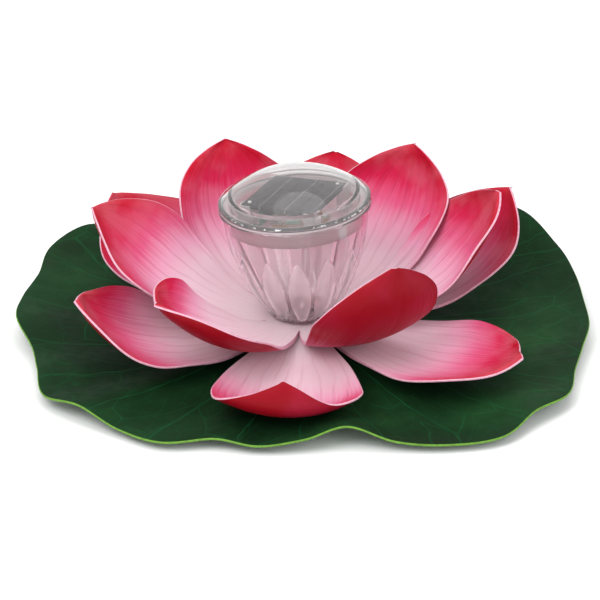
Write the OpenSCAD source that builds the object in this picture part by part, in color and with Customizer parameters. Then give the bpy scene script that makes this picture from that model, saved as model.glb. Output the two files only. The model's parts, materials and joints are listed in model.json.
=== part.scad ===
// Floating solar lotus light: a foam lily leaf, two rosettes of foam petals and a clear
// fluted lamp cup with a tray of electronics under a clear domed cover.
// Millimetres, +Z up, the front of the light faces -Y, the underside of the float is on z = 0.

/* [Foam sheets] */
// Thickness of the EVA foam sheets
sheet = 2; // [1.5:0.25:2.5]
// Radius of the centre hole the lamp spigot passes through
stack_hole_r = 5.8; // [5.7:0.1:6.5]

/* [Lily leaf] */
// Overall scale of the leaf plan
leaf_scale = 1; // [0.95:0.01:1.05]
// How far the leaf sags between the float and its rim
leaf_sag = 5; // [2:0.5:5]
// Radius of the flat middle of the leaf
leaf_flat_r = 24; // [23:1:30]

/* [Petals] */
// Radius of the hub that joins the six petals of a rosette
hub_r = 18; // [17:0.5:20]
// Half width of the widest part of an inner petal
inner_half_width = 36; // [30:1:36]
// Half width of the widest part of an outer petal
outer_half_width = 37; // [33:1:38]

/* [Float] */
// Height of the float disc
float_height = 10; // [9:0.5:12]
// Radius of the float disc at its widest
float_r = 42; // [38:1:50]
// Radius of the flat top of the float
float_top_r = 22; // [20:1:23]
// Depth of the clamp recess under the float
recess_depth = 4; // [3.8:0.1:4.5]

/* [Lamp] */
// Lean of the lamp towards -X, in degrees
lamp_lean = 4; // [0:0.5:5]
// Height of the clear cup above its base
cup_height = 58; // [57:0.5:62]
// Radius of the rim flange of the cup
rim_r = 37.4; // [37.2:0.1:39]
// Thickness of the cup wall
cup_wall = 2; // [1.8:0.1:2.2]
// Number of flutes pressed into the cup
flute_count = 14; // [10:1:16]
// Depth of a flute at its middle
flute_depth = 0.7; // [0.5:0.1:0.8]
// Height of the domed cover above the seal
dome_height = 15.5; // [15:0.5:18]
// Thickness of the domed cover
dome_wall = 1.6; // [1.4:0.1:1.8]

/* [Electronics] */
// Side of the square solar panel
panel_size = 38; // [34:1:38]
// Thickness of the solar panel
panel_thick = 2.2; // [2:0.1:2.4]
// Turn of the panel about the lamp axis, in degrees
panel_turn = -25; // [-45:1:45]
// Diameter of the battery cell
battery_d = 10; // [9:0.5:10]
// Length of the battery cell
battery_length = 28; // [24:1:28]
// Diameter of the light emitting diode
led_d = 5; // [4:0.5:5]

/* [Hidden] */
$fn = 48;
petals_per_rosette = 6;
petal_turn = 360 / petals_per_rosette;
leaf_z = float_height;
outer_z = leaf_z + sheet;
inner_z = outer_z + sheet;
stack_top = inner_z + sheet;

// Petal rows: [azimuth, length, end slope, slope power, dip, cup, start swing, swing change,
// roll, tip curl], lengths in mm and the rest in degrees
inner_petals_table = [
    [-125, 98, 56, 1.2, 2, 52, -4, -15, -9, -10],
    [-65, 98, 104, 1.5, 3, 30, 10, 4, -8, 0],
    [-5, 108, 72, 1.1, 4, 38, 20, 2, -2, 0],
    [55, 104, 73, 1.2, 12, 36, -14, 16, 0, 0],
    [115, 102, 73, 1.2, 11, 36, 12, -22, 0, 0],
    [175, 106, 52, 1.1, 12, 34, 0, 0, -12, -10]];
outer_petals_table = [
    [-155, 110, 58, 1.2, -15, 22, 0, -12, -7, 0],
    [-95, 114, 60, 2.6, -12, 28, 0, 0, 0, 80],
    [-35, 108, 26, 1.4, -9, 20, -4, 16, 0, 15],
    [25, 118, 68, 1.3, -4, 26, 0, 0, 4, 0],
    [85, 114, 50, 1.2, -2, 24, -2, -4, 0, 0],
    [145, 112, 48, 1.2, -2, 16, -2, 4, -7, 0]];
// Share of the half width at each share of the petal length, past the hub
petal_outline = [[0, 0.28], [0.15, 0.5], [0.35, 0.8], [0.55, 0.98], [0.65, 1],
    [0.78, 0.88], [0.9, 0.56], [0.97, 0.24], [1, 0.05]];
petal_rows = 14;
petal_cols = 8;
tip_curl_start = 0.7;
hub_share = 0.93;

// Rim of the leaf every ten degrees from +X: [radius, height of the underside]
leaf_rim = [
    [142, 9], [143, 11], [147, 14], [151, 18], [150, 27], [141, 29],
    [133, 24], [127, 17], [123, 13], [122, 14], [123, 17], [127, 18],
    [134, 14], [140, 14], [147, 20], [150, 17], [143, 14], [143, 12],
    [142, 13], [135, 8], [137, 8], [143, 6], [138, 9], [135, 4],
    [134, 4], [123, 6], [122, 4], [119, 7], [117, 12], [125, 5],
    [136, 4], [145, 4], [143, 8], [146, 7], [140, 8], [139, 8]];
leaf_steps = 72;
leaf_rings = [0, 0.12, 0.25, 0.4, 0.55, 0.7, 0.84, 1];

float_drop = 4.5;
cup_lift = 1.2;
cup_base_r = 14.5;
cup_floor = 2.5;
cup_profile = [[cup_base_r, 0], [17, 2], [25, 14], [30.8, 28], [34.6, 44], [35.8, 55]];
flange_thick = 1.6;
flute_r = 5;
flute_low = [21, 8];
flute_high = [32.6, 36];
foot_r = 9;
spigot_r = 5.5;
spigot_bottom = recess_depth + 1;
boss_h = 4;
pilot_r = 1.55;
pilot_top = stack_top + 4;

washer_r = 14;
washer_thick = 1.6;
recess_r = washer_r + 1;
screw_r = 1.5;
screw_head_r = 4;
screw_head_h = 1.8;
screw_top = stack_top + 3;
slot_w = 1;
slot_h = 0.8;

tray_r = 33.2;
tray_wall = 1.2;
tray_floor = 1.2;
tray_depth = 8.7;
flange_h = 1.2;
tray_flange_r = 36.8;
tray_bottom = cup_height - tray_depth;
tray_top = cup_height + flange_h;
tray_floor_top = tray_bottom + tray_floor;
seal_h = 0.8;
seal_r = 36.9;
seal_in_r = 34.4;
seam = tray_top + seal_h;

dome_lip_h = 1.2;
dome_lip_r = 37.4;
dome_round = 0.5;
dome_edge_r = 36.6;
dome_sphere_r = (dome_edge_r * dome_edge_r + (dome_height - dome_lip_h) ^ 2)
    / (2 * (dome_height - dome_lip_h));
dome_centre = seam + dome_height - dome_sphere_r;
skirt_r = 31.4;
skirt_wall = 1.2;
skirt_h = 3;
notch_turn = -148;
notch_w = 3;
notch_h = 0.8;

panel_bottom = seam + 1;
panel_top = panel_bottom + panel_thick;
panel_groove = 0.3;
panel_margin = 2;
panel_stripes = 5;
fence_gap = 0.3;
fence_wall = 1.2;
fence_arm = 5;
fence_top = panel_top - 0.4;
ledge = 2;
pin_r = 0.9;
pin_h = 1.2;
pin_inset = 3;
panel_pin_at = panel_size / 2 - pin_inset;

board_x = 26;
board_y = 14;
board_thick = 1.2;
board_at = [7.8, -9.5];
board_turn = 17;
board_bottom = tray_floor_top + 3.4;
board_top = board_bottom + board_thick;
board_hole_r = 1.1;
board_hole_at = [[-10.5, -4.5], [10.5, 4.5]];
standoff_r = 2.2;
standoff_pilot_r = 0.85;
board_screw_r = 0.8;
board_screw_head_r = 1.9;
board_screw_head_h = 1;
board_screw_reach = 2.4;
chip_size = [6, 4, 1.6];
chip_at = [-3, 2];
header_pins = 5;
header_pitch = 2.2;
header_at = [1.5, -5.6];
header_pin_w = 0.6;
header_pin_h = 2.6;
coil_r = 1.4;
coil_length = 6;
coil_at = [-3.5, -4.6];
coil_lead_r = 0.3;

battery_r = battery_d / 2;
battery_at = [-14.6, 0];
battery_turn = 90;
battery_z = tray_floor_top + battery_r;
battery_rim = 0.6;
battery_nub_r = 2;
battery_nub_h = 0.8;
tab_w = 4;
tab_t = 0.3;
tab_h = 7;
cradle_l = 4;
cradle_w = 1.2;
cradle_h = 3;
cradle_gap = 0.2;

led_r = led_d / 2;
led_at = [2.5, -5.5];
led_collar_r = led_r + 0.4;
led_collar_h = 1;
led_barrel = 4.5;
led_hole_r = led_collar_r + 0.3;
led_leg_r = 0.25;
led_leg_gap = 1.27;
led_top = tray_floor_top - 0.4;

switch_turn = 90;
switch_out = 25.2;
switch_size = [9, 4, 4];
switch_travel = 2;
slider_w = 2;
slider_t = 1.6;
slider_h = 2;
slider_gap = 0.3;
slider_pocket = 1.4;

lead_r = 0.6;
lead_gap = 0.1;
lead_ease = 3.4;
lead_sides = 8;
lead_steps = 10;

foam_pink = [0.93, 0.55, 0.66];
foam_rose = [0.85, 0.3, 0.45];
leaf_green = [0.1, 0.28, 0.14];
clear = [0.88, 0.9, 0.92, 0.4];

// Value of a smooth curve through a table of [position, value]
function knot(t, tab, k = 0) =
    k >= len(tab) - 2 || t <= tab[k + 1][0] ? k : knot(t, tab, k + 1);
function grade(tab, k) = let (a = max(k - 1, 0), b = min(k + 1, len(tab) - 1))
    (tab[b][1] - tab[a][1]) / (tab[b][0] - tab[a][0]);
function curve(t, tab) =
    let (k = knot(t, tab), h = tab[k + 1][0] - tab[k][0], s = (t - tab[k][0]) / h)
    (2 * s ^ 3 - 3 * s ^ 2 + 1) * tab[k][1] + (s ^ 3 - 2 * s ^ 2 + s) * h * grade(tab, k)
    + (3 * s ^ 2 - 2 * s ^ 3) * tab[k + 1][1] + (s ^ 3 - s ^ 2) * h * grade(tab, k + 1);

// Directions of a petal at a share u of its length: out along it, across it and up through it
function petal_slope(p, u) = p[2] * u ^ p[3] + p[4] * sin(180 * u)
    + p[9] * max(0, (u - tip_curl_start) / (1 - tip_curl_start)) ^ 2;
function petal_heading(p, u) = p[0] + (p[6] + p[7] * u) * min(1, 5 * u);
function petal_along(p, u) = let (h = petal_heading(p, u), s = petal_slope(p, u))
    [cos(h) * cos(s), sin(h) * cos(s), sin(s)];
function petal_flat_across(p, u) = let (h = petal_heading(p, u)) [-sin(h), cos(h), 0];
function petal_flat_up(p, u) = let (h = petal_heading(p, u), s = petal_slope(p, u))
    [-cos(h) * sin(s), -sin(h) * sin(s), cos(s)];
function petal_roll(p, u) = p[8] * sin(90 * min(1, 1.8 * u));
function petal_across(p, u) = petal_flat_across(p, u) * cos(petal_roll(p, u))
    + petal_flat_up(p, u) * sin(petal_roll(p, u));
function petal_up(p, u) = petal_flat_up(p, u) * cos(petal_roll(p, u))
    - petal_flat_across(p, u) * sin(petal_roll(p, u));
// Points down the middle of a petal, stepped along its length
function petal_spine(p, z) = [for (i = 0, q = [hub_r * cos(p[0]), hub_r * sin(p[0]), z];
    i <= petal_rows;
    q = q + petal_along(p, (i + 0.5) / petal_rows) * p[1] / petal_rows, i = i + 1) q];
function petal_cup(p, u) = p[5] * sin(180 * (0.75 * u + 0.02));
function petal_half(u, half) = u == 0 ? hub_r * tan(petal_turn / 2) * hub_share
    : half * curve(u, petal_outline);
// One point of the underside (side 0) or of the upper side (side 1)
function petal_point(p, q, u, v, half, side) =
    let (w = petal_half(u, half), c = u == 0 ? 0 : petal_cup(p, u),
        a = u == 0 ? [-sin(p[0]), cos(p[0]), 0] : petal_across(p, u),
        n = u == 0 ? [0, 0, 1] : petal_up(p, u), b = c * PI / 180)
    u == 0 ? q + a * w * v + n * sheet * side
    : q + a * (w / b * sin(c * v)) + n * (w / b * (1 - cos(c * v)))
        + (n * cos(c * v) - a * sin(c * v)) * sheet * side;

ring_count = petals_per_rosette * (petal_cols + 1);
petal_count = (petal_rows + 1) * (petal_cols + 1);
side_count = petals_per_rosette * petal_count + ring_count;
function rosette_side(table, half, z, side) = concat(
    [for (p = table) let (s = petal_spine(p, z)) for (i = [0:petal_rows])
        for (j = [0:petal_cols])
            petal_point(p, s[i], i / petal_rows, 2 * j / petal_cols - 1, half, side)],
    [for (p = table) for (j = [0:petal_cols])
        let (a = p[0] + (2 * j / petal_cols - 1) * petal_turn / 2 * hub_share)
            [stack_hole_r * cos(a), stack_hole_r * sin(a), z + sheet * side]]);
// Index of a point: side, petal, row and column, or side and place on the centre hole
function at(side, k, i, j) = side * side_count + k * petal_count + i * (petal_cols + 1) + j;
function hub_at(side, m) = let (w = m % ring_count)
    at(side, floor(w / (petal_cols + 1)), 0, w % (petal_cols + 1));
function hole_at(side, m) =
    side * side_count + petals_per_rosette * petal_count + m % ring_count;
function quad(a, b, c, d) = [[a, b, c], [a, c, d]];
function flat(l) = [for (a = l) for (b = a) b];
rosette_faces = flat(concat(
    [for (k = [0:petals_per_rosette - 1]) for (i = [0:petal_rows - 1])
        for (j = [0:petal_cols - 1])
            quad(at(0, k, i, j), at(0, k, i + 1, j), at(0, k, i + 1, j + 1), at(0, k, i, j + 1))],
    [for (k = [0:petals_per_rosette - 1]) for (i = [0:petal_rows - 1])
        for (j = [0:petal_cols - 1])
            quad(at(1, k, i, j), at(1, k, i, j + 1), at(1, k, i + 1, j + 1), at(1, k, i + 1, j))],
    [for (k = [0:petals_per_rosette - 1]) for (i = [0:petal_rows - 1])
        quad(at(0, k, i, petal_cols), at(0, k, i + 1, petal_cols),
            at(1, k, i + 1, petal_cols), at(1, k, i, petal_cols))],
    [for (k = [0:petals_per_rosette - 1]) for (i = [0:petal_rows - 1])
        quad(at(0, k, i, 0), at(1, k, i, 0), at(1, k, i + 1, 0), at(0, k, i + 1, 0))],
    [for (k = [0:petals_per_rosette - 1]) for (j = [0:petal_cols - 1])
        quad(at(0, k, petal_rows, j), at(1, k, petal_rows, j),
            at(1, k, petal_rows, j + 1), at(0, k, petal_rows, j + 1))],
    [for (m = [0:ring_count - 1])
        quad(hole_at(0, m), hub_at(0, m), hub_at(0, m + 1), hole_at(0, m + 1))],
    [for (m = [0:ring_count - 1])
        quad(hole_at(1, m), hole_at(1, m + 1), hub_at(1, m + 1), hub_at(1, m))],
    [for (m = [0:ring_count - 1])
        quad(hole_at(0, m), hole_at(0, m + 1), hole_at(1, m + 1), hole_at(1, m))],
    [for (m = [petal_cols:petal_cols + 1:ring_count - 1])
        quad(hub_at(0, m), hub_at(1, m), hub_at(1, m + 1), hub_at(0, m + 1))]));

module rosette(table, half, z) {
    polyhedron(points = concat(rosette_side(table, half, z, 0), rosette_side(table, half, z, 1)),
        faces = rosette_faces, convexity = 10);
}

// Value of the leaf rim at an angle, smooth round the whole leaf
function rim_value(angle, part) =
    let (n = len(leaf_rim), x = angle / (360 / n), k = floor(x), s = x - k,
        a = leaf_rim[(k + n - 1) % n][part], b = leaf_rim[k % n][part],
        c = leaf_rim[(k + 1) % n][part], d = leaf_rim[(k + 2) % n][part])
    0.5 * (2 * b + (c - a) * s + (2 * a - 5 * b + 4 * c - d) * s ^ 2
        + (3 * b - a - 3 * c + d) * s ^ 3);
function leaf_height(r, rim_r, rim_h) =
    let (s = max(0, (r - leaf_flat_r) / (rim_r - leaf_flat_r)), w = s ^ 1.5)
    leaf_z + (rim_h - leaf_z) * w - leaf_sag * 4 * s * (1 - s);
function leaf_side(side) = [for (t = concat([-1], leaf_rings)) for (i = [0:leaf_steps - 1])
    let (a = 360 * i / leaf_steps, edge = leaf_scale * rim_value(a, 0),
        r = t < 0 ? stack_hole_r : leaf_flat_r + (edge - leaf_flat_r) * t)
    [r * cos(a), r * sin(a), leaf_height(r, edge, rim_value(a, 1)) + sheet * side]];
leaf_ring_count = len(leaf_rings) + 1;
function leaf_at(side, ring, i) =
    side * leaf_ring_count * leaf_steps + ring * leaf_steps + i % leaf_steps;
leaf_last = leaf_ring_count - 1;
leaf_faces = flat(concat(
    [for (t = [0:leaf_last - 1]) for (i = [0:leaf_steps - 1])
        quad(leaf_at(0, t, i), leaf_at(0, t + 1, i), leaf_at(0, t + 1, i + 1), leaf_at(0, t, i + 1))],
    [for (t = [0:leaf_last - 1]) for (i = [0:leaf_steps - 1])
        quad(leaf_at(1, t, i), leaf_at(1, t, i + 1), leaf_at(1, t + 1, i + 1), leaf_at(1, t + 1, i))],
    [for (i = [0:leaf_steps - 1])
        quad(leaf_at(0, 0, i), leaf_at(0, 0, i + 1), leaf_at(1, 0, i + 1), leaf_at(1, 0, i))],
    [for (i = [0:leaf_steps - 1])
        quad(leaf_at(0, leaf_last, i), leaf_at(1, leaf_last, i),
            leaf_at(1, leaf_last, i + 1), leaf_at(0, leaf_last, i + 1))]));

// Frame of the lamp: the cup base at the origin, the lamp axis up +Z
module in_lamp() {
    translate([0, 0, stack_top + cup_lift]) rotate([0, -lamp_lean, 0]) children();
}

// A lead: a thin round wire along a smooth curve through four points
function bend(a, b, c, d, t) = a * (1 - t) ^ 3 + b * 3 * t * (1 - t) ^ 2
    + c * 3 * t ^ 2 * (1 - t) + d * t ^ 3;
function bend_way(a, b, c, d, t) = (b - a) * (1 - t) ^ 2 + (c - b) * 2 * t * (1 - t)
    + (d - c) * t ^ 2;
module lead(a, b, c, d) {
    points = [for (i = [0:lead_steps])
        let (t = i / lead_steps, q = bend(a, b, c, d, t), w = bend_way(a, b, c, d, t),
            n = cross(w, [0.31, 0.17, 1]), x = n / norm(n), m = cross(w, x), y = m / norm(m))
        for (j = [0:lead_sides - 1])
            q + lead_r * (x * cos(360 * j / lead_sides) + y * sin(360 * j / lead_sides))];
    faces = flat(concat(
        [for (i = [0:lead_steps - 1]) for (j = [0:lead_sides - 1])
            quad(i * lead_sides + j, i * lead_sides + (j + 1) % lead_sides,
                (i + 1) * lead_sides + (j + 1) % lead_sides, (i + 1) * lead_sides + j)],
        [for (j = [1:lead_sides - 2]) [[0, j + 1, j]]],
        [for (j = [1:lead_sides - 2]) let (e = lead_steps * lead_sides) [[e, e + j, e + j + 1]]]));
    polyhedron(points = points, faces = faces, convexity = 4);
}

module lily_leaf() {
    color(leaf_green)
        polyhedron(points = concat(leaf_side(0), leaf_side(1)), faces = leaf_faces, convexity = 10);
}

module outer_petals() {
    color(foam_rose) rosette(outer_petals_table, outer_half_width, outer_z);
}

module inner_petals() {
    color(foam_pink) rosette(inner_petals_table, inner_half_width, inner_z);
}

module float_disc() {
    color([0.92, 0.92, 0.9]) rotate_extrude($fn = 96)
        polygon([[stack_hole_r, recess_depth], [recess_r, recess_depth], [recess_r, 0],
            [float_r - 2, 0], [float_r, 2], [float_r, float_height - float_drop],
            [float_top_r, float_height], [stack_hole_r, float_height]]);
}

module clamp_washer() {
    color([0.8, 0.81, 0.82]) translate([0, 0, recess_depth - washer_thick])
        difference() {
            cylinder(r = washer_r, h = washer_thick);
            translate([0, 0, -1]) cylinder(r = screw_r + 0.15, h = washer_thick + 2);
        }
}

module clamp_screw() {
    head_top = recess_depth - washer_thick;
    color([0.7, 0.71, 0.73]) difference() {
        union() {
            translate([0, 0, head_top - screw_head_h]) cylinder(r = screw_head_r, h = screw_head_h);
            translate([0, 0, head_top - 0.1]) cylinder(r = screw_r, h = screw_top - head_top);
        }
        for (turn = [0, 90]) rotate([0, 0, turn])
            translate([-screw_head_r * 0.7, -slot_w / 2, head_top - screw_head_h - 1])
                cube([screw_head_r * 1.4, slot_w, 1 + slot_h]);
    }
}

module cup_flute() {
    run = flute_high - flute_low;
    tilt = atan2(run[0], run[1]);
    middle = (flute_low + flute_high) / 2;
    out = flute_r - flute_depth + 1.5;
    translate([middle[0] + out * cos(tilt), 0, middle[1] - out * sin(tilt)])
        rotate([0, tilt, 0]) cylinder(r = flute_r, h = norm(run) * 1.6, center = true, $fn = 32);
}

module lamp_cup() {
    last = cup_profile[len(cup_profile) - 1];
    color(clear) difference() {
        union() {
            in_lamp() rotate_extrude($fn = 96)
                polygon(concat([[0, 0]], cup_profile, [[last[0], cup_height - flange_thick],
                    [rim_r, cup_height - flange_thick], [rim_r, cup_height], [0, cup_height]]));
            translate([0, 0, stack_top]) cylinder(r = foot_r, h = cup_lift + 1.5);
            translate([0, 0, spigot_bottom]) cylinder(r = spigot_r, h = stack_top + 2 - spigot_bottom);
        }
        in_lamp() difference() {
            rotate_extrude($fn = 96)
                polygon([[0, cup_floor], [cup_profile[1][0] - cup_wall + 0.4, cup_floor],
                    [cup_profile[2][0] - cup_wall - 0.2, cup_profile[2][1]],
                    [cup_profile[3][0] - cup_wall, cup_profile[3][1]],
                    [cup_profile[4][0] - cup_wall + 0.2, cup_profile[4][1]],
                    [tray_r + 0.5, tray_bottom - 1], [tray_r + 0.5, cup_height + 1],
                    [0, cup_height + 1]]);
            cylinder(r = spigot_r, h = cup_floor + boss_h);
        }
        in_lamp() for (i = [0:flute_count - 1])
            rotate([0, 0, 360 * (i + 0.5) / flute_count]) cup_flute();
        translate([0, 0, spigot_bottom - 1]) cylinder(r = pilot_r, h = pilot_top - spigot_bottom + 1);
    }
}

module seal_ring() {
    color([0.12, 0.12, 0.13]) in_lamp() translate([0, 0, tray_top]) difference() {
        cylinder(r = seal_r, h = seal_h, $fn = 96);
        translate([0, 0, -1]) cylinder(r = seal_in_r, h = seal_h + 2, $fn = 96);
    }
}

module dome_cover() {
    color(clear) in_lamp() difference() {
        union() {
            intersection() {
                translate([0, 0, dome_centre]) sphere(r = dome_sphere_r, $fn = 128);
                translate([0, 0, seam + dome_lip_h / 2])
                    cylinder(r = dome_edge_r + 0.5, h = dome_height, $fn = 96);
            }
            rotate_extrude($fn = 96)
                polygon([[0, seam], [dome_lip_r, seam], [dome_lip_r, seam + dome_lip_h - dome_round],
                    [dome_lip_r - dome_round, seam + dome_lip_h], [0, seam + dome_lip_h]]);
            translate([0, 0, seam - skirt_h]) cylinder(r = skirt_r, h = skirt_h + 1, $fn = 96);
        }
        intersection() {
            translate([0, 0, dome_centre]) sphere(r = dome_sphere_r - dome_wall, $fn = 128);
            translate([0, 0, seam]) cylinder(r = skirt_r - skirt_wall, h = dome_height, $fn = 96);
        }
        translate([0, 0, seam - skirt_h - 1])
            cylinder(r = skirt_r - skirt_wall, h = skirt_h + 2, $fn = 96);
        rotate([0, 0, notch_turn])
            translate([dome_lip_r - 1.2, -notch_w / 2, seam - 1]) cube([3, notch_w, 1 + notch_h]);
    }
}

// A corner fence that carries and boxes in one corner of the panel
module panel_fence() {
    reach = panel_size / 2 + fence_gap;
    bottom = tray_floor_top - 0.2;
    translate([reach - fence_arm, reach - fence_arm, bottom]) difference() {
        cube([fence_arm + fence_wall, fence_arm + fence_wall, fence_top - bottom]);
        translate([-1, -1, panel_bottom - bottom])
            cube([fence_arm + 1, fence_arm + 1, fence_top - panel_bottom + 1]);
        translate([-1, -1, -1])
            cube([fence_arm - ledge + 1, fence_arm - ledge + 1, fence_top - bottom + 2]);
    }
}

// Frame of the electronics: the lamp frame turned with the panel
module in_tray() {
    in_lamp() rotate([0, 0, panel_turn]) children();
}

module on_board() {
    translate([board_at[0], board_at[1], 0]) rotate([0, 0, board_turn]) children();
}

// A solder pad on the board, lifted above its upper face
function pad(x, y, lift) = [board_at[0] + x * cos(board_turn) - y * sin(board_turn),
    board_at[1] + x * sin(board_turn) + y * cos(board_turn), board_top + lift];

module on_battery() {
    translate([battery_at[0], battery_at[1], battery_z]) rotate([0, 0, battery_turn])
        rotate([0, 90, 0]) children();
}

module on_switch() {
    rotate([0, 0, switch_turn]) translate([switch_out, 0, tray_floor_top]) rotate([0, 0, 90])
        children();
}

module electronics_tray() {
    color(clear) in_tray() difference() {
        union() {
            rotate_extrude($fn = 96)
                polygon([[0, tray_bottom], [tray_r, tray_bottom], [tray_r, cup_height],
                    [tray_flange_r, cup_height], [tray_flange_r, tray_top],
                    [tray_r - tray_wall, tray_top], [tray_r - tray_wall, tray_floor_top],
                    [0, tray_floor_top]]);
            for (i = [0:3]) rotate([0, 0, 90 * i]) panel_fence();
            on_board() for (p = board_hole_at) translate([p[0], p[1], tray_floor_top - 0.2])
                cylinder(r = standoff_r, h = board_bottom - tray_floor_top + 0.2);
            translate([battery_at[0], battery_at[1], tray_floor_top - 0.2])
                rotate([0, 0, battery_turn]) for (side = [-1, 1]) for (end = [-1, 1])
                    translate([end * battery_length / 4 - cradle_l / 2,
                        side * (battery_r + cradle_gap + cradle_w / 2) - cradle_w / 2, 0])
                        cube([cradle_l, cradle_w, cradle_h + 0.2]);
        }
        translate([led_at[0], led_at[1], tray_bottom - 1])
            cylinder(r = led_hole_r, h = tray_floor + 2);
        on_board() for (p = board_hole_at) translate([p[0], p[1], tray_floor_top + 0.4])
            cylinder(r = standoff_pilot_r, h = board_bottom);
    }
}

module solar_panel() {
    run = panel_size - 2 * panel_margin;
    pitch = run / panel_stripes;
    color([0.2, 0.21, 0.23]) in_tray() difference() {
        translate([-panel_size / 2, -panel_size / 2, panel_bottom])
            cube([panel_size, panel_size, panel_thick]);
        for (i = [1:panel_stripes - 1])
            translate([i * pitch - run / 2 - panel_groove / 2, -run / 2, panel_top - panel_groove])
                cube([panel_groove, run, 1]);
        for (side = [-1, 1]) translate([side * panel_pin_at, side * panel_pin_at, panel_bottom - 1])
            cylinder(r = pin_r + 0.05, h = panel_thick + 2);
    }
}

module panel_pins() {
    color([0.93, 0.93, 0.92]) in_tray() for (side = [-1, 1])
        translate([side * panel_pin_at, side * panel_pin_at, panel_bottom - 0.6])
            cylinder(r = pin_r, h = panel_thick + pin_h);
}

module circuit_board() {
    color([0.45, 0.28, 0.14]) in_tray() on_board() {
        difference() {
            translate([-board_x / 2, -board_y / 2, board_bottom]) cube([board_x, board_y, board_thick]);
            for (p = board_hole_at) translate([p[0], p[1], board_bottom - 1])
                cylinder(r = board_hole_r, h = board_thick + 2);
        }
        for (i = [0:header_pins - 1])
            translate([header_at[0] + i * header_pitch - header_pin_w / 2,
                header_at[1] - header_pin_w / 2, board_top - 0.1])
                cube([header_pin_w, header_pin_w, header_pin_h + 0.1]);
    }
}

module pcb_screws() {
    color([0.7, 0.71, 0.73]) in_tray() on_board() for (p = board_hole_at)
        translate([p[0], p[1], board_top]) {
            cylinder(r = board_screw_head_r, h = board_screw_head_h);
            translate([0, 0, -board_thick - board_screw_reach])
                cylinder(r = board_screw_r, h = board_thick + board_screw_reach + 0.2);
        }
}

module battery() {
    color([0.15, 0.5, 0.25]) in_tray() on_battery() {
        translate([0, 0, -battery_length / 2]) cylinder(r = battery_r, h = battery_length);
        translate([0, 0, battery_length / 2 - 0.1]) cylinder(r = battery_nub_r, h = battery_nub_h + 0.1);
    }
}

module battery_positive_tab() {
    color([0.78, 0.78, 0.75]) in_tray() on_battery()
        translate([-tab_h / 2, -tab_w / 2, battery_length / 2 + battery_nub_h])
            cube([tab_h, tab_w, tab_t]);
}

module battery_negative_tab() {
    color([0.78, 0.78, 0.75]) in_tray() on_battery()
        translate([-tab_h / 2, -tab_w / 2, -battery_length / 2 - tab_t]) cube([tab_h, tab_w, tab_t]);
}

module driver_chip() {
    color([0.1, 0.1, 0.11]) in_tray() on_board()
        translate([chip_at[0] - chip_size[0] / 2, chip_at[1] - chip_size[1] / 2, board_top])
            cube(chip_size);
}

module inductor() {
    color([0.2, 0.65, 0.35]) in_tray() on_board() translate([coil_at[0], coil_at[1], board_top + coil_r]) {
        rotate([0, 90, 0]) translate([0, 0, -coil_length / 2]) cylinder(r = coil_r, h = coil_length);
        for (end = [-1, 1]) translate([end * (coil_length / 2 + 0.2), 0, -coil_r])
            cylinder(r = coil_lead_r, h = coil_r + coil_lead_r);
        rotate([0, 90, 0]) translate([0, 0, -coil_length / 2 - 0.2])
            cylinder(r = coil_lead_r, h = coil_length + 0.4);
    }
}

module led() {
    color([0.97, 0.97, 0.94]) in_tray() translate([led_at[0], led_at[1], led_top]) {
        translate([0, 0, -led_collar_h]) cylinder(r = led_collar_r, h = led_collar_h);
        translate([0, 0, -led_collar_h - led_barrel]) cylinder(r = led_r, h = led_barrel + 0.2);
        translate([0, 0, -led_collar_h - led_barrel]) sphere(r = led_r);
        for (side = [-1, 1]) translate([side * led_leg_gap, 0, -0.2])
            cylinder(r = led_leg_r, h = board_bottom - led_top + 0.2);
    }
}

module switch_body() {
    color([0.75, 0.76, 0.78]) in_tray() on_switch() difference() {
        translate([-switch_size[0] / 2, -switch_size[1] / 2, 0]) cube(switch_size);
        translate([-(slider_w + switch_travel) / 2 - slider_gap, -slider_t / 2 - slider_gap,
            switch_size[2] - slider_pocket])
            cube([slider_w + switch_travel + 2 * slider_gap, slider_t + 2 * slider_gap,
                slider_pocket + 1]);
    }
}

module switch_slider() {
    color([0.1, 0.1, 0.1]) in_tray() on_switch()
        translate([-(slider_w + switch_travel) / 2, -slider_t / 2,
            switch_size[2] - slider_pocket + slider_gap])
            cube([slider_w, slider_t, slider_pocket - slider_gap + slider_h]);
}

// A lead from a spot on the underside of the panel straight down to a pad of the board
module panel_lead(x, y, pad_x, pad_y) {
    start = [x, y, panel_bottom - lead_gap];
    in_tray() lead(start, start - [0, 0, lead_ease], pad(pad_x, pad_y, lead_ease),
        pad(pad_x, pad_y, lead_gap));
}

module panel_lead_red() {
    color([0.75, 0.1, 0.1]) panel_lead(9, -5.5, 4, 1);
}

module panel_lead_black() {
    color([0.08, 0.08, 0.08]) panel_lead(17, -6, 7, 1);
}

// A lead from one end of the battery, out past its tab and down to a pad of the board
module battery_lead(end, out, height, pad_x, pad_y) {
    start = [battery_at[0] + lead_r * 2,
        end * (battery_length / 2 + tab_t + lead_gap + (end > 0 ? battery_nub_h : 0)),
        battery_z + height];
    in_tray() lead(start, start + [0, end * out, 0], pad(pad_x, pad_y, lead_ease),
        pad(pad_x, pad_y, lead_gap));
}

module battery_lead_red() {
    color([0.75, 0.1, 0.1]) battery_lead(1, 7, 2.4, 6, 5);
}

module battery_lead_black() {
    color([0.08, 0.08, 0.08]) battery_lead(-1, 5, 1, -9, 4);
}

lily_leaf();
outer_petals();
inner_petals();
float_disc();
clamp_washer();
clamp_screw();
lamp_cup();
seal_ring();
dome_cover();
electronics_tray();
solar_panel();
panel_pins();
circuit_board();
pcb_screws();
battery();
battery_positive_tab();
battery_negative_tab();
driver_chip();
inductor();
led();
switch_body();
switch_slider();
panel_lead_red();
panel_lead_black();
battery_lead_red();
battery_lead_black();
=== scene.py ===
"""Floating solar lotus light: the looks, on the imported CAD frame. Metres, +Z up, front towards -Y."""

import json
import math

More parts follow.
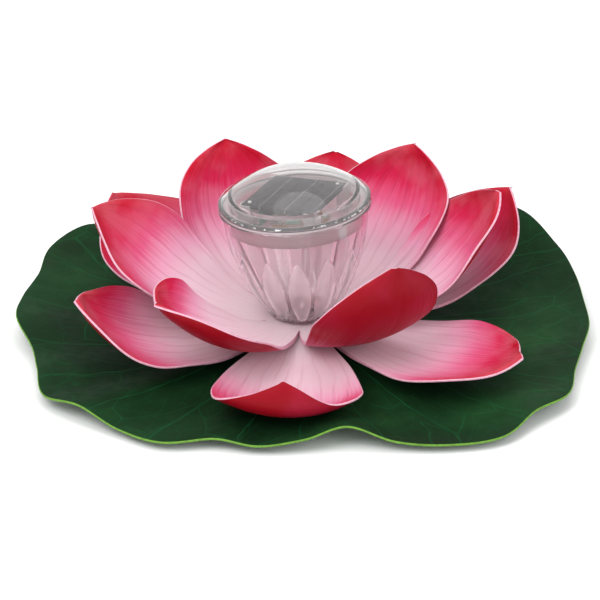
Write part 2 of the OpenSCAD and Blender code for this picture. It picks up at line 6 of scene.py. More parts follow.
import bpy
import numpy as np
from mathutils import Matrix, Vector

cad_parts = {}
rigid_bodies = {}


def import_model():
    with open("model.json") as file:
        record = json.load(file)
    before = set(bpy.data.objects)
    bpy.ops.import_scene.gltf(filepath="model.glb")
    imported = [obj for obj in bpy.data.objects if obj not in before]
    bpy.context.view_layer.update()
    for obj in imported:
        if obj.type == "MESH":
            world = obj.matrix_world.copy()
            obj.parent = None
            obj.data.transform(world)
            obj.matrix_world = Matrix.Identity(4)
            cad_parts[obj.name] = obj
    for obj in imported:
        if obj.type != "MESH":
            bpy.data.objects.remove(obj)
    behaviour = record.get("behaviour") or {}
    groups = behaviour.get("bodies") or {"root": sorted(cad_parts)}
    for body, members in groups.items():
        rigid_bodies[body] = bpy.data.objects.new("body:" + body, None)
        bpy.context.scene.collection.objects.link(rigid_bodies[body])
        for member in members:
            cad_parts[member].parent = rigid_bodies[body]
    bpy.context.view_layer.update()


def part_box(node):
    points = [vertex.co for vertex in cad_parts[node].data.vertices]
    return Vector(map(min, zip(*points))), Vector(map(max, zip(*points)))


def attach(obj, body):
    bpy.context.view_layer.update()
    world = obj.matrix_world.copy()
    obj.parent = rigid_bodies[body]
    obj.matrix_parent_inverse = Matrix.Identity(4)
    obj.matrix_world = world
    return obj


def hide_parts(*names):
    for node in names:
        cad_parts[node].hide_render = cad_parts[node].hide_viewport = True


for old in list(bpy.data.objects):
    bpy.data.objects.remove(old)
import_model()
MM = 0.001

# ---------------------------------------------------------------- driving dimensions, in mm
SHEET = 2.0
HUB_R = 18.0
STACK_HOLE_R = 5.8
LEAF_FLAT_R = 24.0
LEAF_SAG = 5.0
LEAF_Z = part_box("float_disc")[1].z / MM
OUTER_Z = LEAF_Z + SHEET
INNER_Z = OUTER_Z + SHEET
STACK_TOP = INNER_Z + SHEET

LAMP_LEAN = 4.0
CUP_LIFT = 1.2
CUP_HEIGHT = 58.0
CUP_WALL = 2.0
CUP_FLOOR = 2.5
RIM_R = 37.4
FLUTES = 14
FLUTE_DEPTH = 1.4
BOSS_H = 4.0
SPIGOT_R = 5.5
SPIGOT_BOTTOM = 5.0
FOOT_R = 9.0
PANEL_TURN = -25.0
CELL_PITCH = 1.7
BUS_PITCH = 13.6
PILOT_R = 1.55
PILOT_TOP = STACK_TOP + 4.0
SEAM = 60.0
DOME_HEIGHT = 15.5
DOME_WALL = 1.6
DOME_LIP_H = 1.2
DOME_EDGE_R = 36.6
SKIRT_R = 31.4
SKIRT_WALL = 1.2
SKIRT_H = 3.0
NOTCH_TURN = -148.0
NOTCH_DEPTH = 1.2
NOTCH_HALF = 1.3
NOTCH_BLEND = 0.4

# Petals: azimuth, length, end slope, slope power, dip, cup, start swing, swing change, roll, tip curl
INNER_PETALS = [
    (-125, 98, 56, 1.2, 2, 52, -4, -15, -9, -10),
    (-65, 98, 104, 1.5, 3, 30, 10, 4, -8, 0),
    (-5, 108, 72, 1.1, 4, 38, 20, 2, -2, 0),
    (55, 104, 73, 1.2, 12, 36, -14, 16, 0, 0),
    (115, 102, 73, 1.2, 11, 36, 12, -22, 0, 0),
    (175, 106, 52, 1.1, 12, 34, 0, 0, -12, -10),
]
OUTER_PETALS = [
    (-155, 110, 58, 1.2, -15, 22, 0, -12, -7, 0),
    (-95, 114, 60, 2.6, -12, 28, 0, 0, 0, 80),
    (-35, 108, 26, 1.4, -9, 20, -4, 16, 0, 15),
    (25, 118, 68, 1.3, -4, 26, 0, 0, 4, 0),
    (85, 114, 50, 1.2, -2, 24, -2, -4, 0, 0),
    (145, 112, 48, 1.2, -2, 16, -2, 4, -7, 0),
]
INNER_HALF, OUTER_HALF = 36.0, 37.0
PETAL_OUTLINE = [(0, 0.28), (0.15, 0.5), (0.35, 0.8), (0.55, 0.98), (0.65, 1),
                 (0.78, 0.88), (0.9, 0.56), (0.97, 0.24), (1, 0.03)]
TIP_CURL_START = 0.7
HUB_SHARE = 0.93
PETAL_ROWS, PETAL_COLS = 60, 28
RIM_WAVE = 0.9
TIP_WAVE = 1.0
RIM_THINNING = 0.5
RIM_BULGE = 0.35

# Leaf rim every ten degrees from +X: radius, height of the underside
LEAF_RIM = [
    (142, 9), (143, 11), (147, 14), (151, 18), (150, 27), (141, 29),
    (133, 24), (127, 17), (123, 13), (122, 14), (123, 17), (127, 18),
    (134, 14), (140, 14), (147, 20), (150, 17), (143, 14), (143, 12),
    (142, 13), (135, 8), (137, 8), (143, 6), (138, 9), (135, 4),
    (134, 4), (123, 6), (122, 4), (119, 7), (117, 12), (125, 5),
    (136, 4), (145, 4), (143, 8), (146, 7), (140, 8), (139, 8),
]
LEAF_AROUND, LEAF_ACROSS = 540, 60
LEAF_VEINS = 22
LEAF_THINNING = 0.8
LEAF_THINNING_WIDTH = 6.0
LEAF_RIPPLE = 0.35
LEAF_EDGE_BULGE = 0.4

CUP_OUTSIDE = [(0, 14.5), (2, 17), (14, 25), (28, 30.8), (44, 34.6), (56.4, 35.8)]
LAMP_AROUND = FLUTES * 24
DOME_AROUND = 240


# ---------------------------------------------------------------- small tools
def smooth(t, table):
    """Value at t, an array, of a smooth curve through a table of (position, value)."""
    x = np.array([a for a, _ in table], float)
    y = np.array([b for _, b in table], float)
    n = len(x)
    grade = np.array([(y[min(k + 1, n - 1)] - y[max(k - 1, 0)]) / (x[min(k + 1, n - 1)] - x[max(k - 1, 0)])
                      for k in range(n)])
    t = np.clip(np.asarray(t, float), x[0], x[-1])
    k = np.clip(np.searchsorted(x, t, side="left") - 1, 0, n - 2)
    h = x[k + 1] - x[k]
    s = (t - x[k]) / h
    return ((2 * s**3 - 3 * s**2 + 1) * y[k] + (s**3 - 2 * s**2 + s) * h * grade[k]
            + (3 * s**2 - 2 * s**3) * y[k + 1] + (s**3 - s**2) * h * grade[k + 1])


def make_mesh(name, points, faces, body, stands_for=(), materials=(), face_material=None,
              values=None, sharp=50):
    """An object from points in mm, smooth but for edges sharper than sharp degrees."""
    mesh = bpy.data.meshes.new(name)
    mesh.from_pydata([tuple(p) for p in np.asarray(points) * MM], [], faces)
    for m in materials:
        mesh.materials.append(m)
    if face_material is not None:
        mesh.polygons.foreach_set("material_index", face_material)
    mesh.polygons.foreach_set("use_smooth", [True] * len(mesh.polygons))
    for key, data in (values or {}).items():
        mesh.attributes.new(key, "FLOAT", "POINT").data.foreach_set("value", np.asarray(data, np.float32))
    mesh.update()
    mesh.set_sharp_from_angle(angle=math.radians(sharp))
    obj = bpy.data.objects.new(name, mesh)
    bpy.context.scene.collection.objects.link(obj)
    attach(obj, body)
    if stands_for:
        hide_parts(*stands_for)
    return obj


# ---------------------------------------------------------------- materials
class Shader:
    """A material with a Principled surface, and short ways to add and join nodes."""

    def __init__(self, name, **sockets):
        self.material = bpy.data.materials.new(name)
        self.material.use_nodes = True
        self.tree = self.material.node_tree
        self.surface = self.tree.nodes["Principled BSDF"]
        for key, value in sockets.items():
            self.put(self.surface, key.replace("_", " "), value)

    def put(self, node, key, value):
        socket = node.inputs[key]
        if isinstance(value, bpy.types.NodeSocket):
            self.tree.links.new(value, socket)
        elif socket.type == "RGBA" and len(value) == 3:
            socket.default_value = (*value, 1)
        else:
            socket.default_value = value

    def add(self, kind, out=0, props=None, **inputs):
        node = self.tree.nodes.new(kind)
        for key, value in (props or {}).items():
            setattr(node, key, value)
        for key, value in inputs.items():
            key = int(key[1:]) if key[0] == "i" and key[1:].isdigit() else key.replace("_", " ")
            self.put(node, key, value)
        return node.outputs[out]

    def math(self, operation, a, b=0.0, clamp=False):
        return self.add("ShaderNodeMath", props={"operation": operation, "use_clamp": clamp}, i0=a, i1=b)

    def value(self, name):
        return self.add("ShaderNodeAttribute", "Fac", {"attribute_name": name})

    def place(self):
        return self.add("ShaderNodeTexCoord", "Object")

    def vector(self, x, y, z=0.0):
        return self.add("ShaderNodeCombineXYZ", X=x, Y=y, Z=z)

    def noise(self, where, scale, detail=3.0, roughness=0.5):
        return self.add("ShaderNodeTexNoise", "Fac", Vector=where, Scale=scale, Detail=detail,
                        Roughness=roughness)

    def ramp(self, fac, stops):
        node = self.tree.nodes.new("ShaderNodeValToRGB")
        band = node.color_ramp
        while len(band.elements) < len(stops):
            band.elements.new(0.5)
        for element, (at, colour) in zip(band.elements, stops):
            element.position = at
            element.color = (*colour, 1)
        self.put(node, "Fac", fac)
        return node.outputs["Color"]

    def span(self, fac, low, high, to_low=0.0, to_high=1.0):
        return self.add("ShaderNodeMapRange", props={"interpolation_type": "SMOOTHSTEP"}, Value=fac,
                        From_Min=low, From_Max=high, To_Min=to_low, To_Max=to_high)

    def mix(self, fac, a, b, blend="MIX"):
        node = self.tree.nodes.new("ShaderNodeMix")
        node.data_type = "RGBA"
        node.blend_type = blend
        self.put(node, 0, fac)
        self.put(node, 6, a)
        self.put(node, 7, b)
        return node.outputs[2]

    def finish(self, colour=None, roughness=None, height=None, bump=0.3, depth=0.0004):
        if colour is not None:
            self.put(self.surface, "Base Color", colour)
        if roughness is not None:
            self.put(self.surface, "Roughness", roughness)
        if height is not None:
            self.put(self.surface, "Normal", self.add(
                "ShaderNodeBump", Strength=bump, Distance=depth, Height=height))
        return self.material


def petal_veins(s, count, seed):
    """Thin lines that run from the hub to the tip, and soft streaks between them."""
    along, across, which = s.value("along"), s.value("across"), s.value("petal")
    shift = s.math("MULTIPLY_ADD", which, 7.31)
    wander = s.noise(s.vector(s.math("MULTIPLY", along, 2.0), s.math("MULTIPLY", across, 1.5), shift),
                     1.6, 2)
    lane = s.math("ADD", s.math("MULTIPLY", across, count), s.math("MULTIPLY", wander, 1.3))
    off = s.math("ABSOLUTE", s.math("SUBTRACT", s.math("FRACT", lane), 0.5))
    line = s.span(off, 0.0, 0.2, 1.0, 0.0)
    streak = s.noise(s.vector(s.math("MULTIPLY", along, 1.2), s.math("MULTIPLY", across, 16.0), shift),
                     1.7 + seed, 4, 0.6)
    return along, across, line, streak


def petal_top(name, seed, later=0.0):
    """Pale by the hub, pink by the middle and crimson at the tip and along the upper sides."""
    s = Shader(name, Specular_IOR_Level=0.12, Subsurface_Weight=0.06, Subsurface_Scale=0.003)
    s.put(s.surface, "Subsurface Radius", (1.0, 0.35, 0.3))
    along, across, line, streak = petal_veins(s, 4.5, seed)
    edge = s.math("POWER", s.math("ABSOLUTE", across), 3.0)
    reach = s.math("ADD", along, s.math("MULTIPLY", edge, s.span(along, 0.1, 0.7, 0.05, 0.12)))
    reach = s.math("ADD", reach, s.math("MULTIPLY", s.math("SUBTRACT", streak, 0.5), 0.16))
    reach = s.math("SUBTRACT", reach, later)
    colour = s.ramp(reach, [
        (0.06, (0.72, 0.58, 0.62)), (0.42, (0.70, 0.48, 0.56)), (0.57, (0.70, 0.30, 0.43)),
        (0.69, (0.62, 0.09, 0.20)), (0.81, (0.52, 0.011, 0.060)), (0.95, (0.42, 0.002, 0.018))])
    wide = s.noise(s.place(), 45.0, 3)
    colour = s.mix(s.span(wide, 0.4, 0.65, 0.0, 0.14), colour, (0.62, 0.34, 0.42))
    faint = s.math("MULTIPLY", line, s.span(along, 0.05, 0.5, 0.05, 0.2))
    faint = s.math("MULTIPLY", faint, s.span(streak, 0.35, 0.6, 0.3, 1.2))
    colour = s.mix(faint, colour, s.mix(along, (0.46, 0.14, 0.24), (0.34, 0.0, 0.03)))
    rough = s.span(streak, 0.3, 0.7, 0.44, 0.58)
    height = s.math("SUBTRACT", s.math("MULTIPLY", streak, 0.35), s.math("MULTIPLY", line, 0.6))
    return s.finish(colour, rough, height, 0.35, 0.0004)


def petal_under(name, seed):
    s = Shader(name, Specular_IOR_Level=0.12)
    along, across, line, streak = petal_veins(s, 4.0, seed)
    reach = s.math("ADD", along, s.math("MULTIPLY", s.math("SUBTRACT", streak, 0.5), 0.35))
    # Crimson print of the underside, its stops darkened beyond the print: partly the printed colour, partly
    # painted shade for the side that faces away from the light
    colour = s.ramp(reach, [
        (0.08, (0.66, 0.42, 0.50)), (0.26, (0.52, 0.12, 0.21)), (0.44, (0.31, 0.004, 0.020)),
        (0.86, (0.24, 0.001, 0.006)), (1.0, (0.26, 0.002, 0.010))])
    wide = s.noise(s.place(), 30.0, 3)
    colour = s.mix(s.span(wide, 0.5, 0.75, 0.0, 0.2), colour, (0.46, 0.03, 0.09))
    colour = s.mix(s.math("MULTIPLY", line, 0.18), colour, (0.22, 0.0, 0.01))
    rough = s.span(streak, 0.3, 0.7, 0.42, 0.58)
    return s.finish(colour, rough, streak, 0.25, 0.0004)


def foam_edge(name, light, dark):
    s = Shader(name, Specular_IOR_Level=0.3)
    grain = s.noise(s.place(), 700.0, 3)
    return s.finish(s.ramp(grain, [(0.35, dark), (0.65, light)]), s.span(grain, 0.3, 0.7, 0.5, 0.7),
                    grain, 0.2, 0.0002)


def leaf_top():
    """Deep mottled green with brownish clouds, under thin pale branching veins and a fine net."""
    s = Shader("leaf top", Specular_IOR_Level=0.06)
    where = s.place()
    broad = s.noise(where, 14.0, 4, 0.6)
    fine = s.noise(where, 160.0, 4, 0.6)
    colour = s.ramp(broad, [(0.34, (0.003, 0.014, 0.005)), (0.50, (0.006, 0.027, 0.009)),
                            (0.66, (0.011, 0.046, 0.014))])
    brown = s.noise(where, 22.0, 3, 0.5)
    colour = s.mix(s.span(brown, 0.52, 0.70, 0.0, 0.5), colour, (0.010, 0.014, 0.009))
    colour = s.mix(s.math("MULTIPLY", fine, 0.2), colour, (0.012, 0.048, 0.014))
    axes = s.tree.nodes.new("ShaderNodeSeparateXYZ")
    s.put(axes, "Vector", where)
    x, y = axes.outputs["X"], axes.outputs["Y"]
    radius = s.math("SQRT", s.math("ADD", s.math("MULTIPLY", x, x), s.math("MULTIPLY", y, y)))
    drift = s.math("SUBTRACT", s.noise(where, 16.0, 3), 0.5)
    turn = s.math("ADD", s.math("ARCTAN2", y, x), s.math("MULTIPLY", drift, 0.22))
    lane = s.math("MULTIPLY", turn, LEAF_VEINS / (2 * math.pi))
    off = s.math("ABSOLUTE", s.math("SUBTRACT", s.math("FRACT", lane), 0.5))
    off = s.math("MULTIPLY", off, s.math("MULTIPLY", radius, 2 * math.pi / LEAF_VEINS))
    ribs = s.span(off, 0.0001, 0.0006, 1.0, 0.0)
    ribs = s.math("MULTIPLY", ribs, s.span(radius, 0.05, 0.15, 1.0, 0.35))

    def net(cells, length, width):
        """Thin lines between cells round the leaf, drawn out along its radius."""
        ring = cells / (2 * math.pi)
        reach = s.math("ADD", radius, s.math("MULTIPLY", drift, 0.01))
        spot = s.vector(s.math("MULTIPLY", s.math("COSINE", turn), ring),
                        s.math("MULTIPLY", s.math("SINE", turn), ring),
                        s.math("MULTIPLY", reach, 1 / length))
        gap = s.add("ShaderNodeTexVoronoi", "Distance", {"feature": "DISTANCE_TO_EDGE"}, Vector=spot,
                    Scale=1.0, Randomness=0.9)
        return s.span(gap, 0.0, width, 1.0, 0.0)

    veins = s.math("MAXIMUM", ribs, s.math("MULTIPLY", net(30, 0.055, 0.014), 0.4))
    veins = s.math("MAXIMUM", veins, s.math("MULTIPLY", net(80, 0.020, 0.03), 0.2))
    veins = s.math("MULTIPLY", veins, s.span(fine, 0.3, 0.7, 0.45, 1.0))
    colour = s.mix(s.math("MULTIPLY", veins, 0.62, True), colour, (0.008, 0.135, 0.042))
    rough = s.span(fine, 0.3, 0.7, 0.5, 0.66)
    height = s.math("ADD", s.math("MULTIPLY", fine, 0.35), veins)
    return s.finish(colour, rough, height, 0.3, 0.0005)


def leaf_under():
    s = Shader("leaf underside", Specular_IOR_Level=0.4)
    broad = s.noise(s.place(), 18.0, 4, 0.6)
    return s.finish(s.ramp(broad, [(0.3, (0.02, 0.07, 0.025)), (0.7, (0.05, 0.13, 0.05))]),
                    s.span(broad, 0.3, 0.7, 0.45, 0.6), broad, 0.2, 0.0004)


def clear_plastic(name, tint, low, high, clear, gloss):
    s = Shader(name, Transmission_Weight=clear, IOR=1.49, Specular_IOR_Level=gloss)
    cloud = s.noise(s.place(), 90.0, 3)
    colour = s.mix(s.span(cloud, 0.3, 0.7), tint, tuple(0.985 * c for c in tint))
    return s.finish(colour, s.span(cloud, 0.35, 0.7, low, high))


def speckled(name, stops, scale, rough=(0.3, 0.5), bump=0.1, depth=0.0002, **sockets):
    """A finish whose colour and roughness wander through fine noise."""
    s = Shader(name, **sockets)
    grain = s.noise(s.place(), scale, 4, 0.6)
    return s.finish(s.ramp(grain, [(0.3, stops[0]), (0.7, stops[1])]), s.span(grain, 0.3, 0.7, *rough),
                    grain, bump, depth)


def solar_cells():
    """Dark cells, each a slightly different grey, under thin silver collector lines."""
    s = Shader("solar cells", Specular_IOR_Level=0.04)
    turn = s.add("ShaderNodeMapping", Vector=s.place(), Rotation=(0, 0, math.radians(-PANEL_TURN)))
    axes = s.tree.nodes.new("ShaderNodeSeparateXYZ")
    s.put(axes, "Vector", turn)
    x, y = axes.outputs["X"], axes.outputs["Y"]
    cell = s.math("FRACT", s.math("MULTIPLY", y, 1 / (CELL_PITCH * MM)))
    finger = s.span(s.math("ABSOLUTE", s.math("SUBTRACT", cell, 0.5)), 0.0, 0.07, 1.0, 0.0)
    grain = s.noise(s.place(), 260.0, 5, 0.7)
    colour = s.ramp(grain, [(0.3, (0.014, 0.011, 0.015)), (0.7, (0.030, 0.025, 0.032))])
    colour = s.mix(s.math("MULTIPLY", finger, 0.12), colour, (0.20, 0.20, 0.21))
    bus = s.math("FRACT", s.math("ADD", s.math("MULTIPLY", x, 1 / (BUS_PITCH * MM)), 0.5))
    bus = s.span(s.math("ABSOLUTE", s.math("SUBTRACT", bus, 0.5)), 0.0, 0.03, 1.0, 0.0)
    colour = s.mix(s.math("MULTIPLY", bus, 0.5), colour, (0.45, 0.45, 0.46))
    return s.finish(colour, s.span(grain, 0.3, 0.7, 0.22, 0.4), grain, 0.08, 0.0002)


# ---------------------------------------------------------------- foam petals
def petal_grid(p, z, half):
    """Underside points and upward normals of one petal, rows along it and columns across."""
    azimuth, length, lift, power, dip, cup, swing, turn, roll, curl = p
    u = np.linspace(0, 1, PETAL_ROWS + 1)
    mid = (u[:-1] + u[1:]) / 2

    def directions(t):
        slope = np.radians(lift * t**power + dip * np.sin(np.pi * t)
                           + curl * np.clip((t - TIP_CURL_START) / (1 - TIP_CURL_START), 0, None)**2)
        heading = np.radians(azimuth + (swing + turn * t) * np.minimum(1, 5 * t))
        zero = np.zeros_like(t)
        out = np.stack([np.cos(heading), np.sin(heading), zero], -1)
        side = np.stack([-np.sin(heading), np.cos(heading), zero], -1)
        up = np.array([0, 0, 1.0])
        cs, sn = np.cos(slope)[:, None], np.sin(slope)[:, None]
        return out * cs + up * sn, side, up * cs - out * sn

    step, _, _ = directions(mid)
    a = math.radians(azimuth)
    spine = np.array([HUB_R * math.cos(a), HUB_R * math.sin(a), z]) + np.vstack(
        [np.zeros(3), np.cumsum(step, 0) * length / PETAL_ROWS])
    _, side, up = directions(u)
    tilt = np.radians(roll * np.sin(np.pi / 2 * np.minimum(1, 1.8 * u)))[:, None]
    across = side * np.cos(tilt) + up * np.sin(tilt)
    lift_dir = up * np.cos(tilt) - side * np.sin(tilt)
    width = half * smooth(u, PETAL_OUTLINE)
    width[0] = HUB_R * math.tan(math.pi / 6) * HUB_SHARE
    bend = np.radians(cup * np.sin(np.pi * (0.75 * u + 0.02)))
    bend[0] = 1e-4
    v = np.linspace(-1, 1, PETAL_COLS + 1)
    angle = bend[:, None] * v
    reach = (width / bend)[:, None]
    points = (spine[:, None] + across[:, None] * (reach * np.sin(angle))[..., None]
              + lift_dir[:, None] * (reach * (1 - np.cos(angle)))[..., None])
    normals = (lift_dir[:, None] * np.cos(angle)[..., None]
               - across[:, None] * np.sin(angle)[..., None])
    return points, normals, u, v


def rosette(node, table, z, half, materials):
    """Six petals on one hub, with a rounded cut edge round each petal."""
    points, faces, mats = [], [], []
    along, across, which = [], [], []
    rows, cols = PETAL_ROWS, PETAL_COLS
    hub_low, hub_high, hub_mid = [], [], []
    for k, p in enumerate(table):
        low, normal, u, v = petal_grid(p, z, half)
        rim = np.maximum(np.abs(v)[None]**3, np.clip((u[:, None] - 0.86) / 0.14, 0, 1)**2)
        rise = np.clip((u[:, None] - 0.2) / 0.3, 0, 1)
        swell = RIM_WAVE + TIP_WAVE * np.clip((u[:, None] - 0.7) / 0.25, 0, 1)
        phase = 2 * np.pi * (2.3 * u[:, None] + 0.37 * k + 0.2 * v[None])
        wave = swell * rise * rim * np.sin(phase)
        low = low + normal * wave[..., None]
        thick = SHEET * (1 - RIM_THINNING * rise * np.clip((rim - 0.6) / 0.4, 0, 1))
        high = low + normal * thick[..., None]
        ids = {}
        for side, grid in ((0, low), (1, high)):
            base = len(points)
            points.extend(grid.reshape(-1, 3))
            along.extend(np.repeat(u, cols + 1))
            across.extend(np.tile(v, rows + 1))
            which.extend([k] * (rows + 1) * (cols + 1))
            ids[side] = base + np.arange((rows + 1) * (cols + 1)).reshape(rows + 1, cols + 1)
        for i in range(rows):
            for j in range(cols):
                a, b, c, d = (ids[0][i, j], ids[0][i + 1, j], ids[0][i + 1, j + 1], ids[0][i, j + 1])
                faces.append((a, d, c, b))
                mats.append(1)
                a, b, c, d = (ids[1][i, j], ids[1][i + 1, j], ids[1][i + 1, j + 1], ids[1][i, j + 1])
                faces.append((a, b, c, d))
                mats.append(0)
        loop = ([(i, 0) for i in range(rows + 1)] + [(rows, j) for j in range(1, cols)]
                + [(i, cols) for i in range(rows, -1, -1)])
        middle = (low + high) / 2
        mids = []
        for i, j in loop:
            inner = middle[i, min(max(j, 1), cols - 1)] if i < rows else middle[rows - 1, j]
            away = middle[i, j] - inner
            away /= max(np.linalg.norm(away), 1e-9)
            mids.append(len(points))
            points.append(middle[i, j] + away * RIM_BULGE)
            along.append(u[i])
            across.append(v[j])
            which.append(k)
        for m in range(len(loop) - 1):
            (i, j), (i2, j2) = loop[m], loop[m + 1]
            faces.append((ids[0][i, j], ids[0][i2, j2], mids[m + 1], mids[m]))
            faces.append((mids[m], mids[m + 1], ids[1][i2, j2], ids[1][i, j]))
            mats.extend((2, 2))
        hub_low.extend(ids[0][0])
        hub_high.extend(ids[1][0])
        hub_mid.extend([mids[0]] + [None] * (cols - 1) + [mids[-1]])
    ring = len(hub_low)
    holes = []
    for side in (0, 1):
        base = len(points)
        for k, p in enumerate(table):
            for v in np.linspace(-1, 1, cols + 1):
                a = math.radians(p[0] + v * 30 * HUB_SHARE)
                points.append(np.array([STACK_HOLE_R * math.cos(a), STACK_HOLE_R * math.sin(a),
                                        z + SHEET * side]))
                along.append(0.0)
                across.append(v)
                which.append(k)
        holes.append(range(base, base + ring))
    for m in range(ring):
        n = (m + 1) % ring
        faces.append((holes[0][m], holes[0][n], hub_low[n], hub_low[m]))
        faces.append((holes[1][m], hub_high[m], hub_high[n], holes[1][n]))
        faces.append((holes[0][m], holes[1][m], holes[1][n], holes[0][n]))
        mats.extend((1, 0, 2))
        if hub_mid[m] is not None and m % (cols + 1) == cols:
            faces.append((hub_low[m], hub_low[n], hub_mid[n], hub_mid[m]))
            faces.append((hub_mid[m], hub_mid[n], hub_high[n], hub_high[m]))
            mats.extend((2, 2))
    return make_mesh(node + "_foam", points, faces, "flower", [node], materials, mats,
                     {"along": along, "across": across, "petal": which}, sharp=40)


pink_edge = foam_edge("petal cut edge", (0.66, 0.38, 0.47), (0.56, 0.28, 0.36))
rosette("inner_petals", INNER_PETALS, INNER_Z, INNER_HALF,
        [petal_top("inner petal top", 0.0), petal_under("inner petal underside", 0.3), pink_edge])
rosette("outer_petals", OUTER_PETALS, OUTER_Z, OUTER_HALF,
        [petal_top("outer petal top", 0.5, 0.02), petal_under("outer petal underside", 0.8), pink_edge])


# ---------------------------------------------------------------- lily leaf
def leaf_rim_at(degrees):
    """Radius and height of the rim at an angle, a smooth closed curve through the rim table."""
    t = np.mod(np.asarray(degrees, float), 360) / 10
    k = np.floor(t).astype(int)
    f = (t - k)[..., None]
    table = np.array(LEAF_RIM, float)
    n = len(table)
    a, b, c, d = (table[(k + m) % n] for m in (-1, 0, 1, 2))
    return 0.5 * (2 * b + (c - a) * f + (2 * a - 5 * b + 4 * c - d) * f**2
                  + (3 * b - a - 3 * c + d) * f**3)


def leaf_height(r, rim_r, rim_h):
    share = np.clip((r - LEAF_FLAT_R) / (rim_r - LEAF_FLAT_R), 0, None)
    rise = share**1.5
    return LEAF_Z + (rim_h - LEAF_Z) * rise - LEAF_SAG * 4 * share * (1 - share)


def lily_leaf(materials):
    around, across = LEAF_AROUND, LEAF_ACROSS
    degrees = np.arange(around) * 360 / around
    rim = leaf_rim_at(degrees)
    inner_share = np.linspace(0, 1, across + 1)
    radii = STACK_HOLE_R + (rim[:, :1] - STACK_HOLE_R) * inner_share[None]
    low = leaf_height(radii, rim[:, :1], rim[:, 1:])
    a = np.radians(degrees)[:, None]
    x, y = radii * np.cos(a), radii * np.sin(a)
    share = np.clip((radii - 45) / 90, 0, 1)
    ripple = LEAF_RIPPLE * share * (np.sin(0.11 * x + 1.3 * np.sin(0.05 * y)) * np.cos(0.09 * y + 0.7))
    n = around * (across + 1)
    bottom = np.stack([x, y, low + ripple], -1).reshape(-1, 3)
    thick = SHEET - LEAF_THINNING * np.clip((radii - rim[:, :1]) / LEAF_THINNING_WIDTH + 1, 0, 1)**2
    top = np.stack([x, y, low + thick + ripple], -1).reshape(-1, 3)
    out = np.stack([np.cos(a[:, 0]), np.sin(a[:, 0])], -1)
    edge = np.stack([x[:, -1] + LEAF_EDGE_BULGE * out[:, 0], y[:, -1] + LEAF_EDGE_BULGE * out[:, 1],
                     low[:, -1] + thick[:, -1] / 2 + ripple[:, -1]], -1)
    points = np.vstack([bottom, top, edge])
    row = across + 1
    faces, mats = [], []
    for i in range(around):
        k = (i + 1) % around
        for j in range(across):
            faces.append((i * row + j, k * row + j, k * row + j + 1, i * row + j + 1))
            faces.append((n + i * row + j, n + i * row + j + 1, n + k * row + j + 1, n + k * row + j))
            mats.extend((1, 0))
        faces.append((i * row, n + i * row, n + k * row, k * row))
        faces.append((i * row + across, k * row + across, 2 * n + k, 2 * n + i))
        faces.append((2 * n + i, 2 * n + k, n + k * row + across, n + i * row + across))
        mats.extend((2, 2, 2))
    return make_mesh("lily_leaf_foam", points, faces, "flower", ["lily_leaf"], materials, mats,
                     sharp=45)


leaf_edge = foam_edge("leaf cut edge", (0.13, 0.30, 0.03), (0.09, 0.21, 0.02))
lily_leaf([leaf_top(), leaf_under(), leaf_edge])


# ---------------------------------------------------------------- the clear lamp
def to_world(points):
    """Points in the leaning lamp's own frame, in mm, to the shared frame, in mm."""
    place = (Matrix.Translation((0, 0, STACK_TOP + CUP_LIFT))
             @ Matrix.Rotation(math.radians(-LAMP_LEAN), 4, "Y"))
    turn = np.array(place)
    return np.asarray(points) @ turn[:3, :3].T + turn[:3, 3]


def revolve(rings, around, shape=None):
    """Points and faces of closed rings of (radius, height), shape changing the radius by angle."""
    a = np.arange(around) * 2 * math.pi / around
    points, faces = [], []
    for k, (r, h) in enumerate(rings):
        radius = np.full(around, float(r))
        if shape is not None:
            radius = shape(k, radius, h, a)
        points.append(np.stack([radius * np.cos(a), radius * np.sin(a), np.full(around, h)], -1))
    count = len(rings)
    for k in range(count - 1):
        for i in range(around):
            j = (i + 1) % around
            faces.append((k * around + i, k * around + j, (k + 1) * around + j, (k + 1) * around + i))
    return np.vstack(points), faces


def flute(h, angle):
    """Depth of the flutes, pointed at both ends, at a height and angle, from 0 to 1."""
    t = np.clip((h - 3.0) / 38.0, 0, 1)
    half = 0.44 * math.sin(math.pi * min(1.0, 0.16 + 0.84 * t))**0.8 if 0 < t < 1 else 0.0
    if half <= 0:
        return np.zeros_like(angle)
    lane = np.mod(angle / (2 * math.pi) * FLUTES, 1) - 0.5
    x = lane / half
    return np.where(np.abs(x) < 1, 1 - x**2, 0) * math.sin(math.pi * min(1.0, 0.25 + 0.75 * t))**0.6


